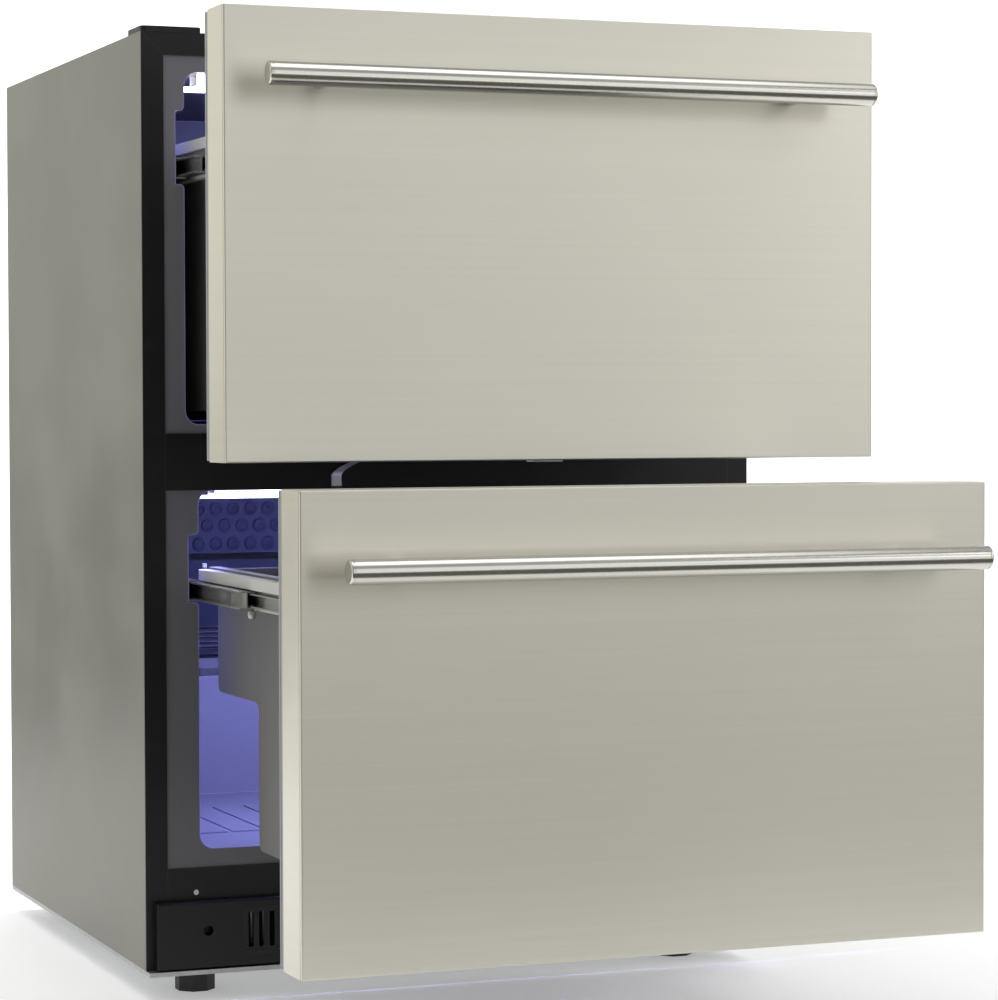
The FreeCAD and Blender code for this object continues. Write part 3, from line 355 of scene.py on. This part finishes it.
def cold_plate():
    """Dark anodised sheet of the cold plate, mottled with frost, with painted bluish highlights on its
    pressed edges.
    """
    finish = Finish("cold_plate", Specular_IOR_Level=0.6)
    frost = finish.cloud(160, 5)
    streak = finish.noise((30, 30, 5), 3)
    worn = finish.edges(0.8 * MM)
    tone = (0.012, 0.014, 0.028)
    colour = finish.mix(shade(tone, 0.75), shade(tone, 1.4), frost * 0.5 + streak * 0.5)
    # painted highlight: the pressed edges found by worn are made pale and bluish, as if the lamps caught
    # them
    colour = finish.mix(colour, shade((0.26, 0.27, 0.34)), worn * 0.6)
    return finish.close(colour, 0.24 + frost * 0.14, frost * 0.6 + streak * 0.4, 0.03 * MM)


def white_with_painted_shadow():
    """White plastic, painted grey above a set height as a painted shadow, worn shiny at the edges."""
    finish = Finish("white_with_painted_shadow", Specular_IOR_Level=0.5)
    grain = finish.cloud(1200, 2)
    flow = finish.cloud(60, 3)
    worn = finish.edges(0.4 * MM)
    height = finish.node("ShaderNodeSeparateXYZ", {}, {0: finish.place}, 2)
    # painted shadow: above this height the white gives way to grey
    painted_shadow_mask = finish.ease(height, 0.4735, 0.4775)
    white = finish.mix(shade((0.86, 0.86, 0.85)), shade((0.93, 0.93, 0.92)), flow)
    painted_shadow_grey = finish.mix(shade((0.20, 0.20, 0.20)), shade((0.34, 0.34, 0.35)), flow)
    colour = finish.mix(finish.mix(white, painted_shadow_grey, painted_shadow_mask), shade((0.9, 0.9, 0.9)), worn * 0.3)
    return finish.close(colour, 0.26 + grain * 0.1 + flow * 0.08, grain, 0.01 * MM)


FINISHES = {
    "brushed_stainless": brushed_stainless(),
    "handle_steel": handle_steel(),
    "silver_side": silver_side(),
    "black_frame": black_frame(),
    "black_plastic": moulded_plastic("black_plastic", (0.016, 0.016, 0.017), 0.25, 0.42),
    "liner_grey": moulded_plastic("liner_grey", (0.16, 0.16, 0.175), 0.08, 0.30),
    "bin_grey": moulded_plastic("bin_grey", (0.15, 0.147, 0.138), 0.06, 0.34),
    "rail_light_grey": moulded_plastic("rail_light_grey", (0.55, 0.545, 0.51), 0.06, 0.36),
    "white_plastic": moulded_plastic("white_plastic", (0.78, 0.78, 0.77), 0.04, 0.3),
    "galvanised": galvanised(),
    "zinc_steel": zinc_steel(),
    "gasket_grey": gasket_grey(),
    "foam": foam(),
    "lens": lit_lens(),
    "copper": copper(),
    "compressor_black": compressor_black(),
}


# ---------------------------------------------------------------- carried-over parts


def soften(item, width):
    """Rounds a sub-part's hard edges so that they catch the light."""
    item.modifiers.new("Weld", "WELD").merge_threshold = 0.01 * MM
    bevel = item.modifiers.new("Bevel", "BEVEL")
    bevel.width = width
    bevel.segments = 2
    bevel.limit_method = "ANGLE"
    bevel.angle_limit = math.radians(40)
    item.modifiers.new("Normals", "WEIGHTED_NORMAL").keep_sharp = False


def dress_frame():
    """Gives every CAD node the finish of its slot."""
    for part in frame["record"]["subparts"]:
        item = nodes[part["node"]]
        item.data.materials.clear()
        item.data.materials.append(FINISHES[part["material_slot"]])
    for name, finish in OWN_FINISHES.items():
        nodes[name].data.materials[0] = finish
    for name, width in SOFT_EDGES.items():
        soften(nodes[name], width)


# the sub-parts that differ from their slot's usual finish
OWN_FINISHES = {
    "light_switch_lever": white_with_painted_shadow(),
    "evaporator_cover": cold_plate(),
    **dict.fromkeys((f"{drawer}_liner" for drawer in DRAWERS), liner_painted_light()),
}

# how far each moulded or turned sub-part's edges are rounded
SOFT_EDGES = {
    **{f"{drawer}_bin": 0.6 * MM for drawer in DRAWERS},
    **{f"{drawer}_side_rails": 0.4 * MM for drawer in DRAWERS},
    "kick_plate": 0.5 * MM,
    "light_switch_lever": 0.3 * MM,
}

dress_frame()


# ---------------------------------------------------------------- added detail


def piece(name, mesh, body, slot, finish=None):
    """Turns a bmesh into a piece that rides on a body and wears its slot's or its own finish."""
    data = bpy.data.meshes.new(name)
    bmesh.ops.recalc_face_normals(mesh, faces=mesh.faces)
    mesh.to_mesh(data)
    mesh.free()
    data.materials.append(finish or FINISHES[slot])
    data.shade_smooth()
    item = bpy.data.objects.new(name, data)
    bpy.context.scene.collection.objects.link(item)
    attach(item, body)
    return item


def turn(mesh, profile, centre, axis, steps=20):
    """Adds a turned shape: a profile of (radius, height) pairs spun about an axis."""
    lean = Vector(axis).to_track_quat("Z", "Y").to_matrix().to_4x4()
    place = Matrix.Translation(centre) @ lean
    rings = []
    for radius, height in profile:
        if radius == 0:
            rings.append([mesh.verts.new(place @ Vector((0, 0, height)))])
            continue
        rings.append([
            mesh.verts.new(place @ Vector((
                radius * math.cos(math.tau * step / steps),
                radius * math.sin(math.tau * step / steps),
                height,
            )))
            for step in range(steps)
        ])
    for low, high in zip(rings, rings[1:]):
        for step in range(steps):
            corners = [low[step % len(low)], low[(step + 1) % len(low)],
                       high[(step + 1) % len(high)], high[step % len(high)]]
            mesh.faces.new(list(dict.fromkeys(corners)))


def cold_plate_dimples():
    """The rows of round cups pressed in the cold plate, each row set half a pitch over."""
    low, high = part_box("evaporator_cover")
    pitch, columns = 18.7 * MM, 23
    row_drops = (30 * MM, 47.5 * MM, 66.5 * MM)
    mesh = bmesh.new()
    profile = [(7.6 * MM, -0.05 * MM), (7.1 * MM, 0.9 * MM), (6.4 * MM, 2.2 * MM), (5.6 * MM, 2.4 * MM),
               (4.8 * MM, 1.4 * MM), (3.6 * MM, 0.5 * MM), (2.2 * MM, 0.3 * MM), (1.6 * MM, 0.9 * MM),
               (0, 1.1 * MM)]
    for row, drop in enumerate(row_drops):
        count = columns + row % 2
        for number in range(count):
            x = (number - (count - 1) / 2) * pitch
            turn(mesh, profile, (x, low.y, high.z - drop), (0, -1, 0))
    return piece("cold_plate_dimples", mesh, "cabinet", "liner_grey",
                 OWN_FINISHES["evaporator_cover"])


def block(mesh, low, high):
    """Adds a box between two corners."""
    made = bmesh.ops.create_cube(mesh, size=1)
    size = Vector(high) - Vector(low)
    for vert in made["verts"]:
        vert.co = Vector(low) + Vector(((vert.co.x + 0.5) * size.x, (vert.co.y + 0.5) * size.y,
                                        (vert.co.z + 0.5) * size.z))


def screw_head(mesh, centre, axis, radius):
    """Adds a low domed screw head with a recess in its middle."""
    turn(mesh, [(radius, -0.1 * MM), (radius, 0.25 * radius), (0.8 * radius, 0.45 * radius),
                (0.45 * radius, 0.52 * radius), (0.35 * radius, 0.2 * radius), (0, 0.18 * radius)],
         centre, axis)


def rail_stops():
    """The threaded stop with its ring nut, and a screw, under each lower rail."""
    low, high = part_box("lower_side_rails")
    top = low.z + 5 * MM
    stop_inset, stop_y = 3.2 * MM, -163 * MM
    screw_inset, screw_y, screw_radius = 9.2 * MM, -195 * MM, 3.7 * MM
    profile = [(1.6 * MM, 0), (1.6 * MM, -4 * MM), (2.4 * MM, -4.3 * MM), (3.8 * MM, -5.6 * MM),
               (4.0 * MM, -8.2 * MM), (3.3 * MM, -11 * MM), (1.9 * MM, -12 * MM), (0, -12.1 * MM)]
    mesh = bmesh.new()
    for side in SIDES:
        turn(mesh, profile, (side * (high.x - stop_inset), stop_y, top), (0, 0, 1))
        screw_head(mesh, (side * (high.x - screw_inset), screw_y, top), (0, 0, -1), screw_radius)
    return piece("rail_stops", mesh, "lower_drawer", "zinc_steel")


def rail_clips():
    """The small loops near the back ends of the lower rails."""
    _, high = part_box("lower_side_rails")
    inset, half_wire, leg = 9 * MM, 0.8 * MM, 1.2 * MM
    length, bar_low, bar_high = 8.2 * MM, high.z + 3.4 * MM, high.z + 4.6 * MM
    mesh = bmesh.new()
    for side in SIDES:
        x = side * (high.x - inset)
        for y in (0, length - leg):
            block(mesh, (x - half_wire, y, high.z - 0.1 * MM), (x + half_wire, y + leg, bar_high - 0.1 * MM))
        block(mesh, (x - half_wire, 0, bar_low), (x + half_wire, length, bar_high))
    return piece("rail_clips", mesh, "lower_drawer", "white_plastic")


def hem_plug():
    """The pale plug in the bottom hem of the upper front."""
    low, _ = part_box("upper_front_skin")
    mesh = bmesh.new()
    block(mesh, (-24 * MM, low.y + 7 * MM, low.z - 1.6 * MM), (4 * MM, low.y + 21 * MM, low.z + 0.2 * MM))
    return piece("hem_plug", mesh, "upper_drawer", "white_plastic")


def back_screws():
    """The screws that hold the back sheet along its top and sides."""
    low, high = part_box("back_panel")
    mesh = bmesh.new()
    columns, rows, radius = 7, 5, 2.6 * MM
    side_inset, top_inset = 24 * MM, 14 * MM
    # the lowest and highest screw of each side, from the sheet's lower and upper edge
    foot_gap, head_gap = 60 * MM, 80 * MM
    # sunk a little, so that the heads stay within the side panels' returns
    seat = high.y - 0.5 * MM
    for column in range(columns):
        x = low.x + side_inset + (high.x - low.x - 2 * side_inset) * column / (columns - 1)
        screw_head(mesh, (x, seat, high.z - top_inset), (0, 1, 0), radius)
    for row in range(rows):
        z = low.z + foot_gap + (high.z - low.z - foot_gap - head_gap) * row / (rows - 1)
        for x in (low.x + side_inset, high.x - side_inset):
            screw_head(mesh, (x, seat, z), (0, 1, 0), radius)
    return piece("back_screws", mesh, "cabinet", "zinc_steel")


cold_plate_dimples()
rail_stops()
rail_clips()
hem_plug()
back_screws()


# ---------------------------------------------------------------- studio


def studio_floor():
    """A wide pale floor that curves up behind the object."""
    mesh = bmesh.new()
    reach, front, back, radius, top = 16.0, -18.0, 4.0, 1.6, 6.0
    line = [(front, 0.0)]
    steps = 12
    for step in range(steps + 1):
        angle = math.pi / 2 * step / steps
        line.append((back + radius * math.sin(angle), radius * (1 - math.cos(angle))))
    line.append((back + radius, top))
    rows = [[mesh.verts.new((x, y, z)) for x in (-reach, reach)] for y, z in line]
    for near_row, far_row in zip(rows, rows[1:]):
        mesh.faces.new((near_row[0], near_row[1], far_row[1], far_row[0]))
    data = bpy.data.meshes.new("studio_floor")
    mesh.to_mesh(data)
    mesh.free()
    data.materials.append(floor_paint())
    data.shade_smooth()
    item = bpy.data.objects.new("studio_floor", data)
    bpy.context.scene.collection.objects.link(item)


def area_light(name, place, aim, size, power, colour=(1, 1, 1), seen=True):
    """A rectangular soft light that points from its place to its aim."""
    data = bpy.data.lights.new(name, "AREA")
    data.shape = "RECTANGLE"
    data.size, data.size_y = size
    data.energy = power
    data.color = colour
    item = bpy.data.objects.new(name, data)
    item.location = place
    item.rotation_euler = (Vector(aim) - Vector(place)).to_track_quat("-Z", "Y").to_euler()
    item.visible_camera = False
    item.visible_glossy = seen
    bpy.context.scene.collection.objects.link(item)


def soft_sky():
    """A dim, even surround, so that the soft boxes do the lighting."""
    world = bpy.data.worlds.new("studio")
    world.use_nodes = True
    ground = world.node_tree.nodes["Background"]
    ground.inputs["Color"].default_value = (1.0, 1.0, 0.98, 1.0)
    ground.inputs["Strength"].default_value = 0.33
    bpy.context.scene.world = world


def soft_box(name, place, aim, size, radiance):
    """A soft light whose face has the same brightness whatever its size."""
    area_light(name, place, aim, size, radiance * math.pi * size[0] * size[1])


def card(name, corners, low, high, split):
    """A glowing card that only reflections see, shaded from low to high about a height."""
    mesh = bmesh.new()
    mesh.faces.new([mesh.verts.new(corner) for corner in corners])
    data = bpy.data.meshes.new(name)
    mesh.to_mesh(data)
    mesh.free()
    finish = Finish(name, Emission_Strength=1.0)
    weave = finish.cloud(300, 2)
    height = finish.node("ShaderNodeSeparateXYZ", {}, {0: finish.place}, 2)
    blur = 0.25
    glow = finish.mix(shade(low), shade(high), finish.ease(height, split - blur, split + blur))
    finish.fill(finish.shader.inputs["Emission Color"], glow)
    cloth = finish.mix(shade((0.004, 0.004, 0.004)), shade((0.008, 0.008, 0.008)), weave)
    data.materials.append(finish.close(cloth, 0.9 + weave * 0.1))
    item = bpy.data.objects.new(name, data)
    bpy.context.scene.collection.objects.link(item)
    item.visible_camera = False
    item.visible_diffuse = False
    item.visible_shadow = False


def backdrop_light():
    """Keeps the backdrop pale behind the object."""
    area_light("backdrop_light", (0.0, 1.6, 4.2), (0.0, 5.2, 1.2), (7.0, 1.0), 250, seen=False)


def compartment_lights():
    """The blue light that each lens throws down and back into its compartment."""
    blue = (0.34, 0.36, 1.0)
    width = 14 * MM
    for name, power in (("upper", 4.0), ("lower", 12.0)):
        low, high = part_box(f"{name}_light_lens")
        middle = (low + high) / 2
        place = (0, middle.y, low.z - 1.5 * MM)
        area_light(f"{name}_led", place, (0, place[1] + 0.12, place[2] - 0.2),
                   (high.x - low.x - 0.02, width), power, blue, seen=False)


def camera():
    """A long lens a little left of the object, level with its middle."""
    data = bpy.data.cameras.new("camera")
    data.lens = 113.10
    data.sensor_width = 36
    item = bpy.data.objects.new("camera", data)
    stand = Matrix.Translation((-1.0312, -2.7589, 0.5408))
    turn_right, tilt, roll = 0.37343, -0.03159, -0.0024
    forward = Vector((
        math.sin(turn_right) * math.cos(tilt),
        math.cos(turn_right) * math.cos(tilt),
        math.sin(tilt),
    ))
    right = Vector((math.cos(turn_right), -math.sin(turn_right), 0))
    up = right.cross(forward)
    axes = Matrix((right, up, -forward)).transposed().to_4x4()
    item.matrix_world = stand @ axes @ Matrix.Rotation(roll, 4, "Z")
    bpy.context.scene.collection.objects.link(item)
    bpy.context.scene.camera = item


studio_floor()
soft_sky()
card("floor_card", [(-3.0, -4.2, 0.01), (4.0, -4.2, 0.01), (4.0, -0.82, 0.01), (-3.0, -0.82, 0.01)],
     (0.07, 0.07, 0.05), (0.07, 0.07, 0.05), 0.5)
card("side_card", [(-2.8, 1.8, 0.01), (-0.42, 1.8, 0.01), (-0.42, 1.8, 1.8), (-2.8, 1.8, 1.8)],
     (0.34, 0.34, 0.31), (0.80, 0.79, 0.72), 0.46)
soft_box("front_box", (1.6, -4.4, 1.3), (0.0, 0.0, 0.6), (3.1, 2.6), 0.68)
soft_box("corner_box", (2.1, -3.2, 1.5), (0.28, -0.25, 0.8), (0.6, 0.5), 1.3)
soft_box("high_box", (2.6, -2.4, 2.6), (0.1, -0.2, 0.7), (0.9, 0.9), 4.0)
soft_box("left_box", (-3.6, 1.6, 1.6), (-0.2, 0.2, 0.5), (3.0, 3.0), 0.5)
soft_box("top_box", (0.0, -0.9, 3.6), (0.0, -0.2, 0.4), (3.4, 2.2), 1.5)
backdrop_light()
compartment_lights()
camera()
bpy.context.scene.view_settings.view_transform = "Standard"
